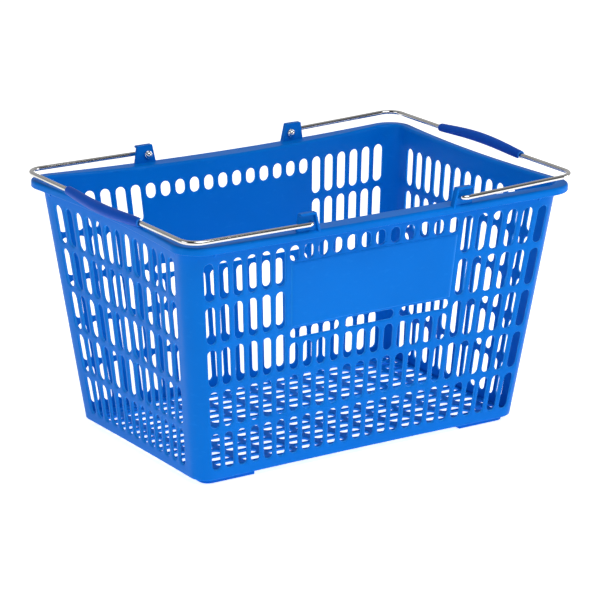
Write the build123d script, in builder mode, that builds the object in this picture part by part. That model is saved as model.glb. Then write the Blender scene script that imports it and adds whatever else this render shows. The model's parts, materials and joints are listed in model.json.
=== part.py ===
"""Hand-carried shopping basket: one moulded tub with two wire bails and turning grips.

The frame: X runs along the basket, Y across it and Z up, with the origin on the
floor under the middle of the basket.  The front is the long wall at negative Y.
Every length is in millimetres.
"""

from build123d import *
from math import atan, cos, degrees, radians, sin
import os

# Feet and walls
foot_height = 6.0
rim_top = 266.0
wall = 3.0
floor_thickness = 2.5
bottom_chamfer = 2.0
bottom_half_length = 198.3
bottom_half_width = 124.6
top_half_length = 231.8
top_half_width = 161.4
bottom_corner = 18.0
top_corner = 22.0

# How far the middle of each side bows inwards
bottom_long_bow = 2.5
top_long_bow = 18.9
bottom_end_bow = 1.0
top_end_bow = 8.8

# Rim: a flange with a turned-down lip, which dips along the two long sides
rim_half_length = 242.5
rim_half_width = 170.5
rim_corner = 28.0
rim_long_bow = 7.7
rim_end_bow = 11.7
rim_thickness = 2.5
lip_depth = 8.0
rim_dip = 3.5

# Wall slots: every row has the same height, and the columns fan with the taper
slot_rows = 5
slot_height = 40.7
row_pitch = 46.7
top_row_top = 244.3
long_columns = 24
long_pitch_top = 18.0
end_columns = 13
end_pitch_top = 19.6
slot_share = 0.66

# Label panel: a blank area over the middle columns of each long wall
panel_columns = 12
panel_bottom = 156.8
panel_top = 226.0
panel_raise = 0.8
small_slot_height = 16.5
crossways_slot_bottom = 144.5
crossways_slot_top = 155.0
crossways_slots = 3
short_slot_top = 139.2

# Floor grid
floor_slot_length = 26.0
floor_slot_width = 12.5
floor_pitch_x = 32.4
floor_pitch_y = 16.4
floor_columns = 12
floor_rows = 14

# Corner feet
foot_inset_x = 10.0
foot_inset_y = 8.0
foot_leg_x = 60.0
foot_leg_y = 50.0
foot_width = 8.0

# Stacking ribs under the rim
rib_thickness = 2.5
rib_height = 12.0
rib_from_corner = 34.0

# Wire bails
wire_radius = 2.5
running_clearance = 0.05
pivot_x = 91.0
pivot_z = 271.3
bail_half_length = 234.5
bail_half_width = 167.5
wire_corner_radius = 18.0
wire_bend_radius = 6.0
wire_end_y = 155.0
left_bail_lift = 0.0
right_bail_lift = 2.0

# Lugs that carry the bails
lug_inner_y = 157.5
lug_plate = 3.5
lug_outer_y = 164.2
lug_above_pivot = 10.6
lug_top_inner = 5.4
lug_base_inner = 10.4
lug_top_outer = 13.2
lug_base_outer = 16.2
lug_base_z = 260.5
lug_wall = 2.5

# Domed caps on the wire ends
cap_radius = 4.5
cap_gap = 0.3
cap_rim = 1.0
cap_dome = 3.2

# Turning grips
grip_half_length = 73.5
grip_end_radius = 4.7
grip_shoulder = 57.0
grip_shoulder_radius = 5.2
grip_shoulder_rise = 1.0
grip_middle_radius = 5.8
grip_middle_rise = 3.6
left_grip_tilt = -38.0
right_grip_tilt = 80.0
grip_channel_half_length = 64.0

big = 400.0
wall_height = rim_top - foot_height

os.makedirs("parts", exist_ok=True)


def share_up(height):
    """Share of the wall's height, 0 at its bottom edge and 1 at the rim."""
    return (height - foot_height) / wall_height


def between(bottom, top, height):
    """Value at a height of something that changes evenly up the wall."""
    return bottom + (top - bottom) * share_up(height)


def bowed_outline(height, half_x, half_y, long_bow, end_bow, corner):
    """Rounded rectangle at a height, with its four sides bowed inwards."""
    with BuildSketch(Plane.XY.offset(height)) as outline:
        with BuildLine():
            ThreePointArc((-half_x, -half_y), (0, long_bow - half_y), (half_x, -half_y))
            ThreePointArc((half_x, -half_y), (half_x - end_bow, 0), (half_x, half_y))
            ThreePointArc((half_x, half_y), (0, half_y - long_bow), (-half_x, half_y))
            ThreePointArc((-half_x, half_y), (end_bow - half_x, 0), (-half_x, -half_y))
        make_face()
        fillet(outline.vertices(), corner)
    return outline.sketch


def wall_outline(height, inset):
    """Plan of the wall at a height, moved inwards from its outer face."""
    return bowed_outline(
        height,
        between(bottom_half_length, top_half_length, height) - inset,
        between(bottom_half_width, top_half_width, height) - inset,
        between(bottom_long_bow, top_long_bow, height),
        between(bottom_end_bow, top_end_bow, height),
        between(bottom_corner, top_corner, height) - inset,
    )


def rim_outline(height, inset):
    """Plan of the rim at a height, moved inwards from its outer edge."""
    return bowed_outline(
        height,
        rim_half_length - inset,
        rim_half_width - inset,
        rim_long_bow,
        rim_end_bow,
        rim_corner - inset,
    )


def column_pitch(pitch_top, half_bottom, half_top, height):
    """Distance between slot columns at a height: it shrinks with the wall."""
    return pitch_top * between(half_bottom, half_top, height) / half_top


def slot_places(columns, chosen, pitch_top, half_bottom, half_top, height):
    """Centres of the chosen slot columns at a height, each leaning with the taper."""
    pitch = column_pitch(pitch_top, half_bottom, half_top, height)
    growth = pitch_top * (half_top - half_bottom) / (half_top * wall_height)
    places = []
    for column in chosen:
        steps = column - (columns - 1) / 2
        lean = degrees(atan(steps * growth))
        places.append(Location((steps * pitch, height, 0), (0, 0, 90 - lean)))
    return places


def row_of_slots(columns, chosen, pitch_top, half_bottom, half_top, top, tall):
    """Draws one row of upright slots, given its upper edge and its height."""
    middle = top - tall / 2
    wide = slot_share * column_pitch(pitch_top, half_bottom, half_top, middle)
    with Locations(*slot_places(columns, chosen, pitch_top, half_bottom, half_top, middle)):
        SlotOverall(tall, wide)


# ---- Curved slabs that shape the rim -------------------------------------------------
def under_rim_line(start, depth):
    """Slab along the dipping line of the rim, between two depths below that line."""
    with BuildPart() as slab:
        with BuildSketch(Plane.XZ):
            with BuildLine():
                upper = ThreePointArc(
                    (-rim_half_length, rim_top - start),
                    (0, rim_top - start - rim_dip),
                    (rim_half_length, rim_top - start),
                )
                lower = ThreePointArc(
                    (-rim_half_length, rim_top - depth),
                    (0, rim_top - depth - rim_dip),
                    (rim_half_length, rim_top - depth),
                )
                Line(upper @ 0, lower @ 0)
                Line(upper @ 1, lower @ 1)
            make_face()
        extrude(amount=big / 2, both=True)
    return slab.part


# ---- Rim: a flange with a turned-down lip, still closed over the inside ---------------
with BuildPart() as lip_hollow:
    extrude(rim_outline(rim_top - 2 * lip_depth, rim_thickness), amount=2 * lip_depth)
    add(under_rim_line(rim_thickness, 2 * lip_depth), mode=Mode.INTERSECT)

with BuildPart() as rim:
    extrude(rim_outline(rim_top - 2 * lip_depth, 0), amount=2 * lip_depth)
    add(under_rim_line(0, lip_depth), mode=Mode.INTERSECT)
    add(lip_hollow.part, mode=Mode.SUBTRACT)

# ---- Wall shell with its rim ----------------------------------------------------------
with BuildPart() as shell:
    loft(sections=[wall_outline(foot_height, 0), wall_outline(rim_top, 0)], ruled=True)
    chamfer(shell.faces().sort_by(Axis.Z)[0].edges(), bottom_chamfer)
    add(under_rim_line(0, wall_height), mode=Mode.INTERSECT)
    add(rim.part)
    floor_top = foot_height + floor_thickness
    loft(sections=[wall_outline(floor_top, wall), wall_outline(rim_top, wall)], ruled=True, mode=Mode.SUBTRACT)

# ---- Raised label panels on both long walls -------------------------------------------
panel_half_top = panel_columns / 2 * column_pitch(long_pitch_top, bottom_half_length, top_half_length, panel_top)
panel_half_bottom = panel_columns / 2 * column_pitch(
    long_pitch_top, bottom_half_length, top_half_length, panel_bottom
)
with BuildPart() as panels:
    with BuildSketch(Plane.XZ):
        with BuildLine():
            Polyline(
                (-panel_half_bottom + 3, panel_bottom),
                (panel_half_bottom - 3, panel_bottom),
                (panel_half_top - 3, panel_top),
                (-panel_half_top + 3, panel_top),
                close=True,
            )
        make_face()
    extrude(amount=big / 2, both=True)
    raised_low = wall_outline(foot_height, -panel_raise)
    raised_high = wall_outline(rim_top, -panel_raise)
    loft(sections=[raised_low, raised_high], ruled=True, mode=Mode.INTERSECT)
    loft(sections=[wall_outline(foot_height, 1), wall_outline(rim_top, 1)], ruled=True, mode=Mode.SUBTRACT)

# ---- Stacking ribs under the rim, near every corner -----------------------------------
with BuildPart() as ribs:
    rib_middle = rim_top - rim_thickness - rib_height / 2
    for side in (-1, 1):
        with Locations(
            (side * (top_half_length - rib_from_corner), 0, rib_middle),
        ):
            Box(rib_thickness, 2 * (rim_half_width - 3), rib_height)
        with Locations(
            (0, side * (top_half_width - rib_from_corner), rib_middle),
        ):
            Box(2 * (rim_half_length - 3), rib_thickness, rib_height)
    loft(sections=[wall_outline(foot_height, 1), wall_outline(rim_top, 1)], ruled=True, mode=Mode.SUBTRACT)
    rib_low = wall_outline(rim_top - rim_thickness - rib_height, 0)
    rib_high = rim_outline(rim_top - rim_thickness, 4)
    loft(sections=[rib_low, rib_high], ruled=True, mode=Mode.INTERSECT)


# ---- Lugs -----------------------------------------------------------------------------
def lug(end, side):
    """One bail lug: a plate with a wall towards the middle and a hood on top.

    end is -1 on the left and 1 on the right; side is -1 at the front and 1 at the back.
    """
    top = pivot_z + lug_above_pivot
    plane = Plane(origin=(0, side * lug_inner_y, 0), x_dir=(1, 0, 0), z_dir=(0, -1, 0))
    outwards = -side * (lug_outer_y - lug_inner_y)
    inner_base = end * (pivot_x - lug_base_inner)
    inner_top = end * (pivot_x - lug_top_inner)
    outer_base = end * (pivot_x + lug_base_outer)
    outer_top = end * (pivot_x + lug_top_outer)
    with BuildPart() as block:
        with BuildSketch(plane):
            with BuildLine():
                Polyline(
                    (inner_base, lug_base_z),
                    (outer_base, lug_base_z),
                    (outer_top, top),
                    (inner_top, top),
                    close=True,
                )
            make_face()
        extrude(amount=outwards)
        with BuildSketch(plane.offset(-side * lug_plate)):
            with BuildLine():
                Polyline(
                    (inner_base + end * lug_wall, lug_base_z - 1),
                    (outer_base + end, lug_base_z - 1),
                    (outer_base + end, top - lug_wall),
                    (inner_top + end * lug_wall, top - lug_wall),
                    close=True,
                )
            make_face()
        extrude(amount=outwards, mode=Mode.SUBTRACT)
        with BuildSketch(plane):
            with Locations((end * pivot_x, pivot_z)):
                Circle(wire_radius + running_clearance)
        extrude(amount=outwards, mode=Mode.SUBTRACT)
    return block.part


# ---- Corner feet ----------------------------------------------------------------------
with BuildPart() as feet:
    outer_x = bottom_half_length - foot_inset_x
    outer_y = bottom_half_width - foot_inset_y
    with BuildSketch():
        RectangleRounded(2 * outer_x, 2 * outer_y, bottom_corner - foot_inset_y)
        Rectangle(2 * (outer_x - foot_width), 2 * (outer_y - foot_width), mode=Mode.SUBTRACT)
        Rectangle(2 * (outer_x - foot_leg_x), big, mode=Mode.SUBTRACT)
        Rectangle(2 * big, 2 * (outer_y - foot_leg_y), mode=Mode.SUBTRACT)
    extrude(amount=foot_height + 1)

# ---- Openings cut through the walls and the floor -------------------------------------
first_panel_column = (long_columns - panel_columns) // 2
panel_range = range(first_panel_column, first_panel_column + panel_columns)
all_long = range(long_columns)
beside_panel = [column for column in all_long if column not in panel_range]
row_tops = [top_row_top - row * row_pitch for row in range(slot_rows)]
long_taper = (long_pitch_top, bottom_half_length, top_half_length)
end_taper = (end_pitch_top, bottom_half_width, top_half_width)

with BuildPart() as long_cuts:
    with BuildSketch(Plane.XZ):
        for row, row_top in enumerate(row_tops):
            columns = beside_panel if row < 3 else all_long
            row_of_slots(long_columns, columns, *long_taper, row_top, slot_height)
        row_of_slots(long_columns, panel_range, *long_taper, top_row_top, small_slot_height)
        short_height = short_slot_top - (row_tops[2] - slot_height)
        row_of_slots(long_columns, panel_range, *long_taper, short_slot_top, short_height)
        crossways_middle = (crossways_slot_top + crossways_slot_bottom) / 2
        crossways_pitch = column_pitch(*long_taper, crossways_middle) * panel_columns / crossways_slots
        with Locations((0, crossways_middle)):
            with GridLocations(crossways_pitch, 1, crossways_slots, 1):
                SlotOverall(crossways_pitch - 6.5, crossways_slot_top - crossways_slot_bottom)
    extrude(amount=big / 2, both=True)

with BuildPart() as end_cuts:
    with BuildSketch(Plane.YZ):
        for row_top in row_tops:
            row_of_slots(end_columns, range(end_columns), *end_taper, row_top, slot_height)
    extrude(amount=big, both=True)

with BuildPart() as floor_cuts:
    with BuildSketch(Plane.XY):
        with GridLocations(floor_pitch_x, floor_pitch_y, floor_columns, floor_rows):
            SlotOverall(floor_slot_length, floor_slot_width)
    extrude(amount=foot_height + floor_thickness + 1)

# ---- Basket tub -----------------------------------------------------------------------
with BuildPart() as tub:
    add(shell.part)
    add(panels.part)
    add(long_cuts.part, mode=Mode.SUBTRACT)
    add(end_cuts.part, mode=Mode.SUBTRACT)
    add(floor_cuts.part, mode=Mode.SUBTRACT)
    add(ribs.part)
    for end in (-1, 1):
        for side in (-1, 1):
            add(lug(end, side))
    add(feet.part)
tub.part.label = "basket_tub"
export_step(tub.part, "parts/basket_tub.step", write_pcurves=False)


# ---- Bails ----------------------------------------------------------------------------
def bail_plane(end, lift):
    """Plane of one bail, turned up about its pivots by a lift in degrees."""
    turn = radians(lift)
    return Plane(
        origin=(end * pivot_x, 0, pivot_z),
        x_dir=(cos(turn), 0, end * sin(turn)),
        z_dir=(-end * sin(turn), 0, cos(turn)),
    )


def bail_wire(end, lift):
    """Bent wire: two legs, an end bar, and ends turned in through the lugs."""
    reach = end * (bail_half_length - pivot_x)
    with BuildPart() as wire:
        with BuildLine(bail_plane(end, lift)) as route:
            FilletPolyline(
                (0, -wire_end_y),
                (0, -bail_half_width),
                (reach, -bail_half_width),
                (reach, bail_half_width),
                (0, bail_half_width),
                (0, wire_end_y),
                radius=[wire_bend_radius, wire_corner_radius, wire_corner_radius, wire_bend_radius],
            )
        with BuildSketch(Plane(origin=route.line @ 0, z_dir=route.line % 0)):
            Circle(wire_radius)
        sweep()
    return wire.part


def wire_cap(end, side):
    """Domed cap pressed on a wire end, on the inner face of its lug."""
    base_y = side * (lug_inner_y - cap_gap)
    plane = Plane(origin=(end * pivot_x, base_y, pivot_z), z_dir=(0, -side, 0))
    with BuildPart() as cap:
        with BuildSketch(plane):
            Circle(cap_radius)
        extrude(amount=cap_rim + cap_dome)
        fillet(cap.edges().group_by(Axis.Y)[-1 if side < 0 else 0], cap_dome - 0.2)
        with BuildSketch(plane):
            Circle(wire_radius)
        extrude(amount=lug_inner_y - cap_gap - wire_end_y, mode=Mode.SUBTRACT)
    return cap.part


def grip(end, tilt, lift):
    """Arched grip on the end bar, with an open channel on its inner side.

    tilt is the angle in degrees of its bulge above the level outward direction.
    """
    outwards = (end * cos(radians(tilt)), 0, sin(radians(tilt)))
    across = (sin(radians(tilt)), 0, -end * cos(radians(tilt)))
    reach = bail_half_length - pivot_x
    bar_x = pivot_x + reach * cos(radians(lift))
    origin = Vector(end * bar_x, 0, pivot_z + reach * sin(radians(lift)))
    stations = [
        (-grip_half_length, grip_end_radius, 0.0),
        (-grip_shoulder, grip_shoulder_radius, grip_shoulder_rise),
        (0.0, grip_middle_radius, grip_middle_rise),
        (grip_shoulder, grip_shoulder_radius, grip_shoulder_rise),
        (grip_half_length, grip_end_radius, 0.0),
    ]
    sections = []
    for along, radius, rise in stations:
        centre = origin + Vector(*outwards) * rise + Vector(0, along, 0)
        with BuildSketch(Plane(origin=centre, x_dir=outwards, z_dir=(0, 1, 0))) as section:
            Circle(radius)
        sections.append(section.sketch)
    middle = Plane(origin=origin, x_dir=(0, 1, 0), z_dir=across)
    end_plane = Plane(origin=origin - Vector(0, big / 2, 0), x_dir=outwards, z_dir=(0, 1, 0))
    with BuildPart() as body:
        loft(sections=sections)
        with BuildSketch(end_plane):
            Circle(wire_radius + running_clearance)
        extrude(amount=big, mode=Mode.SUBTRACT)
        with BuildSketch(middle):
            with Locations((0, -grip_end_radius)):
                Rectangle(2 * grip_channel_half_length, 2 * grip_end_radius)
        extrude(amount=wire_radius + running_clearance, both=True, mode=Mode.SUBTRACT)
    return body.part


for bail_name, end, tilt, lift in (
    ("left", -1, left_grip_tilt, left_bail_lift),
    ("right", 1, right_grip_tilt, right_bail_lift),
):
    wire_part = bail_wire(end, lift)
    wire_part.label = f"{bail_name}_bail_wire"
    export_step(wire_part, f"parts/{bail_name}_bail_wire.step")
    grip_part = grip(end, tilt, lift)
    grip_part.label = f"{bail_name}_grip"
    export_step(grip_part, f"parts/{bail_name}_grip.step")
    for side_name, side in (("front", -1), ("back", 1)):
        cap_part = wire_cap(end, side)
        cap_part.label = f"{bail_name}_{side_name}_wire_cap"
        export_step(cap_part, f"parts/{bail_name}_{side_name}_wire_cap.step")
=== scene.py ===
"""Looks of a hand-carried shopping basket: a slotted tub, two wire bails and turning grips.

Lengths are in millimetres until a mesh is made; meshes, lights and the camera are in metres.
"""

import enum
import json
import logging
import math
from dataclasses import dataclass, field
from typing import Any, Sequence

import bmesh
import bpy
import numpy as np
from mathutils import Matrix, Vector

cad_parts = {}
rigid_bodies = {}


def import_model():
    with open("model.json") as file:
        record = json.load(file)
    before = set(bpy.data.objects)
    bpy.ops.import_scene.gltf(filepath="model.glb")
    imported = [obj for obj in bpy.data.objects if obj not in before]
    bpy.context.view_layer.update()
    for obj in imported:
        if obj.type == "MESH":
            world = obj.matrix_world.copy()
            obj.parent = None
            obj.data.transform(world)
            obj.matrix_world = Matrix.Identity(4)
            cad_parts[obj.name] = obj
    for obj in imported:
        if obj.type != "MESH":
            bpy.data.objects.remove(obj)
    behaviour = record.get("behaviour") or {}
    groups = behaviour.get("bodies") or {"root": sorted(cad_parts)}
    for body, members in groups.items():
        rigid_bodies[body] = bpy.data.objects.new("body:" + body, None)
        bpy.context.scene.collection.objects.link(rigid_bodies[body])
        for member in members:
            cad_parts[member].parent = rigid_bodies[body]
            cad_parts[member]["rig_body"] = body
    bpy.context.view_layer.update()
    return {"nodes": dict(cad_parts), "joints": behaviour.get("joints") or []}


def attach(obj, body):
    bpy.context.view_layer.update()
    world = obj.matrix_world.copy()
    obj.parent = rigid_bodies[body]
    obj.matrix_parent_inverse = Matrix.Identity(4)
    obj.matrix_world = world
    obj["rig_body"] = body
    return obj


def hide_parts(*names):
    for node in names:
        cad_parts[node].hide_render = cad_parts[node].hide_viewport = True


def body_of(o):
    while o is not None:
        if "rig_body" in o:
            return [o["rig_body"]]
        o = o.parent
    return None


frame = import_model()

MM = 0.001
Array = np.ndarray
Material = bpy.types.Material
Colour = tuple[float, float, float]
# Edge share of a slot's six rings: the slot's own wall gets the plastic's painted highlight.
SLOT_EDGE_HIGHLIGHT = np.array([0, 0, 1, 1, 0, 0])[None, :, None]
QUARTERS = ((1, 1), (1, -1), (-1, 1), (-1, -1))
log = logging.getLogger("basket")


class Wall(enum.Enum):
    """Which kind of wall a slot is cut in."""

    LONG = "long"
    END = "end"


class Slot(enum.Enum):
    """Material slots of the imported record."""

    TUB = "tub_plastic"
    GRIP = "grip_plastic"
    WIRE = "wire_chrome"
    CAP = "cap_chrome"


# ---- Shader maths ---------------------------------------------------------------------
class Signal:
    """A number that varies over a surface, as a socket that takes part in sums."""

    def __init__(self, board: "Board", socket: bpy.types.NodeSocket) -> None:
        """Keeps the socket and the board that it stands on."""
        self.board = board
        self.socket = socket

    def combine(self, operation: str, first: Any, second: Any) -> "Signal":
        """Adds one Math node on two operands, each a Signal or a number."""
        node = self.board.node("ShaderNodeMath", {"operation": operation}, {0: first, 1: second})
        return Signal(self.board, node.outputs[0])

    def __add__(self, other: Any) -> "Signal":
        """This value plus another."""
        return self.combine("ADD", self, other)

    def __mul__(self, other: Any) -> "Signal":
        """This value times another."""
        return self.combine("MULTIPLY", self, other)

    def __sub__(self, other: Any) -> "Signal":
        """This value less another."""
        return self.combine("SUBTRACT", self, other)

    def __rsub__(self, other: Any) -> "Signal":
        """Another value less this one."""
        return self.combine("SUBTRACT", other, self)

    def above(self, low: float, high: float) -> "Signal":
        """A smooth step that is 0 below low and 1 above high.

        Args:
            low: where the step starts.
            high: where the step ends.

        Returns:
            The step, from 0 to 1.
        """
        settings = {"interpolation_type": "SMOOTHSTEP"}
        inputs = {"Value": self, "From Min": low, "From Max": high}
        return Signal(self.board, self.board.node("ShaderNodeMapRange", settings, inputs).outputs[0])

    __radd__ = __add__
    __rmul__ = __mul__


class Board:
    """A node tree of a material or a world, with one method that makes every node."""

    def __init__(self, owner: Any, shader: str = "Principled BSDF") -> None:
        """Starts with only the owner's shader, found by its name, and its output.

        Args:
            owner: what holds the nodes, such as a material.
            shader: name of the shader node that the owner starts with.
        """
        owner.use_nodes = True
        self.owner = owner
        self.tree = owner.node_tree
        self.shader = self.tree.nodes[shader]

    def node(self, kind: str, settings: dict[str, Any], inputs: dict[Any, Any]) -> bpy.types.Node:
        """Makes a node.

        Args:
            kind: the node's type.
            settings: its properties, which are set first.
            inputs: values, sockets or Signals for its sockets, by name or number.

        Returns:
            The node.
        """
        node = self.tree.nodes.new(kind)
        for key, value in settings.items():
            setattr(node, key, value)
        self.feed(node, inputs)
        return node

    def feed(self, node: bpy.types.Node, inputs: dict[Any, Any]) -> None:
        """Sets or links sockets of a node.

        Args:
            node: the node.
            inputs: values, sockets or Signals, by socket name or number.
        """
        for key, value in inputs.items():
            if isinstance(value, Signal):
                value = value.socket
            if isinstance(value, bpy.types.NodeSocket):
                self.tree.links.new(value, node.inputs[key])
            else:
                node.inputs[key].default_value = value

    def stretched(self, scale: Sequence[float]) -> bpy.types.NodeSocket:
        """Object coordinates, stretched by a factor on each axis.

        Args:
            scale: the factor on X, Y and Z.

        Returns:
            The stretched coordinates' socket.
        """
        place = self.node("ShaderNodeTexCoord", {}, {})
        mapping = self.node("ShaderNodeMapping", {}, {"Vector": place.outputs["Object"], "Scale": scale})
        return mapping.outputs[0]

    def noise(self, scale: float, detail: float, stretch: Sequence[float] = (1, 1, 1)) -> Signal:
        """Cloudy variation from 0 to 1, with its waves in a metre, its finer layers and its stretch."""
        inputs = {"Vector": self.stretched(stretch), "Scale": scale, "Detail": detail}
        return Signal(self, self.node("ShaderNodeTexNoise", {}, inputs).outputs[0])

    def attribute(self, name: str) -> Signal:
        """A number kept on the mesh's points."""
        node = self.node("ShaderNodeAttribute", {"attribute_name": name}, {})
        return Signal(self, node.outputs["Fac"])

    def mixed(self, share: Signal, first: Any, second: Any) -> bpy.types.NodeSocket:
        """Mixes two colours.

        Args:
            share: how much of the second colour shows.
            first: a colour or a colour socket.
            second: a colour or a colour socket.

        Returns:
            The mixed colour's socket.
        """
        first, second = [(*c, 1.0) if isinstance(c, tuple) else c for c in (first, second)]
        inputs = {0: share, 6: first, 7: second}
        return self.node("ShaderNodeMix", {"data_type": "RGBA"}, inputs).outputs[2]

    def bump(self, height: Signal, strength: float, distance: float) -> bpy.types.NodeSocket:
        """Turns a height from 0 to 1 into a tilted normal; the distance is in metres."""
        inputs = {"Strength": strength, "Distance": distance, "Height": height}
        return self.node("ShaderNodeBump", {}, inputs).outputs[0]


@dataclass(frozen=True)
class MouldedPlastic:
    """Glossy moulded plastic: flow marks, faint cloudiness, scuffs, and a painted highlight that makes
    moulded edges paler.
    """

    name: str
    colour: Colour
    deep: Colour
    # edge: paler colour painted on moulded edges as a highlight; the scuffs' wear uses it too.
    edge: Colour
    roughness: float
    grain: float = 0.06
    cloud_waves: float = 7.0
    flow_waves: float = 26.0
    scuff_waves: float = 95.0
    grain_waves: float = 1500.0
    sink_waves: float = 38.0
    specular: float = 0.05

    def material(self) -> Material:
        """Builds the finish as a material.

        Returns:
            The new material, with its nodes.
        """
        board = Board(bpy.data.materials.new(self.name))
        clouds = board.noise(self.cloud_waves, 2.0)
        flow = board.noise(self.flow_waves, 4.0, (1.0, 1.0, 0.12))
        scuffs = board.noise(self.scuff_waves, 8.0, (1.0, 1.0, 2.2)).above(0.58, 0.74)
        grain = board.noise(self.grain_waves, 2.0)
        sink = board.noise(self.sink_waves, 1.0)
        edge = board.attribute("edge")
        base = board.mixed(clouds.above(0.35, 0.7) * 0.7 + flow * 0.2, self.colour, self.deep)
        # Painted highlight: moulded edges turn towards the paler edge colour by the mesh's edge share.
        base = board.mixed(edge.above(0.1, 1.0) * 0.55, base, self.edge)
        # Scuffs: real wear, lightened with the same paler colour.
        base = board.mixed(scuffs * 0.08, base, self.edge)
        roughness = flow * 0.10 + scuffs * 0.14 + grain * 0.05 + (self.roughness - 0.07)
        height = grain * self.grain + sink * 0.8 + scuffs * -0.03
        board.feed(
            board.shader,
            {
                "Base Color": base,
                "Roughness": roughness,
                "Normal": board.bump(height, 0.35, 0.0006),
                "IOR": 1.49,
                "Specular IOR Level": self.specular,
            },
        )
        return board.owner


@dataclass(frozen=True)
class BrightChrome:
    """Bright chrome on drawn wire: fine lines along it, faint spots and cloudy tone."""

    name: str
    colour: Colour
    shade: Colour
    roughness: float
    line_waves: float = 900.0
    spot_waves: float = 420.0
    cloud_waves: float = 24.0

    def material(self) -> Material:
        """Builds the finish as a material.

        Returns:
            The new material, with its nodes.
        """
        board = Board(bpy.data.materials.new(self.name))
        lines = board.noise(self.line_waves, 3.0, (0.02, 0.02, 1.0))
        spots = board.noise(self.spot_waves, 5.0).above(0.62, 0.75)
        clouds = board.noise(self.cloud_waves, 3.0)
        base = board.mixed(clouds.above(0.3, 0.75) * 0.5 + spots * 0.3, self.colour, self.shade)
        board.feed(
            board.shader,
            {
                "Base Color": base,
                "Metallic": 1.0,
                "Roughness": lines * 0.06 + spots * 0.12 + clouds * 0.04 + self.roughness,
                "Normal": board.bump(lines + spots * -0.4, 0.12, 0.0002),
            },
        )
        return board.owner


# ---- Meshes ---------------------------------------------------------------------------
def grid_faces(rows: int, columns: int, wrap: bool) -> Array:
    """Faces of a grid of points that is numbered row by row.

    Args:
        rows: rows of points.
        columns: points in a row.
        wrap: whether the last column joins the first.

    Returns:
        Four point numbers for each face.
    """
    steps = columns if wrap else columns - 1
    i, j = np.meshgrid(np.arange(rows - 1), np.arange(steps), indexing="ij")
    after = (j + 1) % columns
    corners = [i * columns + j, i * columns + after, (i + 1) * columns + after, (i + 1) * columns + j]
    return np.stack(corners, axis=-1).reshape(-1, 4)


def with_height(flat: Array, height: Array) -> Array:
    """Flat points (..., 2) and heights that spread over them, as points (..., 3)."""
    return np.concatenate([flat, np.broadcast_to(height, flat.shape[:-1])[..., None]], -1)


@dataclass
class Shell:
    """Grids gathered into one mesh; edge is 1 on a moulded edge and 0 on a flat, and sets where the
    plastic's painted highlight shows.
    """

    points: list[Array] = field(default_factory=list)
    faces: list[Array] = field(default_factory=list)
    edges: list[Array] = field(default_factory=list)
    count: int = 0

    def grid(self, points: Array, wrap: bool = False, edge: Any = 0.0) -> None:
        """Adds one grid, or a stack of grids of the same size.

        Args:
            points: places in millimetres, shaped (..., rows, columns, 3).
            wrap: whether each grid's last column joins its first.
            edge: the edge share of the points, of a shape that spreads over them, which sets the painted
                highlight.
        """
        stack = points.reshape(-1, *points.shape[-3:])
        many, rows, columns, _ = stack.shape
        start = self.count + np.arange(many)[:, None, None] * rows * columns
        self.points.append(stack.reshape(-1, 3))
        self.faces.append((start + grid_faces(rows, columns, wrap)).reshape(-1, 4))
        self.edges.append(np.broadcast_to(edge, stack.shape[:-1]).ravel())
        self.count += many * rows * columns

    def prism(self, profile: Array, start: Array, stop: Array, axis: int) -> None:
        """Adds a closed prism: a flat profile carried straight along one axis.

        Its ends are closed by folding the profile on to its middle line, point i with
        the point as far from the other end, so the profile starts at one tip.

        Args:
            profile: points (n, 2) on the two other axes, in order, n even.
            start: where it starts on the axis.
            stop: where it ends on the axis.
            axis: 0 for X, 1 for Y or 2 for Z.
        """
        loop = np.insert(profile, axis, 0.0, axis=1)
        rings = np.stack([loop, loop])
        rings[0, :, axis] = start
        rings[1, :, axis] = stop
        self.grid(rings, wrap=True)
        half = len(profile) // 2
        for ring in rings:
            self.grid(np.stack([ring[:half], ring[half:][::-1]]))

    def mesh(self, name: str) -> bpy.types.Mesh:
        """Welds the grids and turns their faces outwards.

        Args:
            name: the mesh's name.

        Returns:
            The mesh, in metres.
        """
        points = np.concatenate(self.points) * MM
        faces = np.concatenate(self.faces)
        mesh = bpy.data.meshes.new(name)
        mesh.vertices.add(len(points))
        mesh.vertices.foreach_set("co", points.astype(np.float32).ravel())
        mesh.loops.add(faces.size)
        mesh.loops.foreach_set("vertex_index", faces.astype(np.int32).ravel())
        mesh.polygons.add(len(faces))
        mesh.polygons.foreach_set("loop_start", np.arange(0, faces.size, 4, dtype=np.int32))
        mesh.update(calc_edges=True)
        share = mesh.attributes.new("edge", "FLOAT", "POINT")
        share.data.foreach_set("value", np.concatenate(self.edges).astype(np.float32))
        welded = bmesh.new()
        welded.from_mesh(mesh)
        bmesh.ops.remove_doubles(welded, verts=welded.verts, dist=3e-6)
        bmesh.ops.dissolve_degenerate(welded, edges=welded.edges, dist=1e-7)
        bmesh.ops.recalc_face_normals(welded, faces=welded.faces)
        open_edges = sum(not edge.is_manifold for edge in welded.edges)
        welded.to_mesh(mesh)
        welded.free()
        mesh.polygons.foreach_set("use_smooth", np.ones(len(mesh.polygons), dtype=bool))
        mesh.update()
        log.info("%s: %d faces, %d open edges", name, len(mesh.polygons), open_edges)
        return mesh


def place_piece(shell: Shell, name: str, node: str, material: Material) -> bpy.types.Object:
    """Makes a piece that stands for a CAD node and rides on that node's body.

    Args:
        shell: the piece's grids.
        name: the piece's name.
        node: the CAD node that it stands for.
        material: its finish.

    Returns:
        The piece.
    """
    piece = bpy.data.objects.new(name, shell.mesh(name))
    bpy.context.scene.collection.objects.link(piece)
    piece.data.materials.append(material)
    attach(piece, body_of(frame["nodes"][node])[0])
    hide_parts(node)
    return piece


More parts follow.
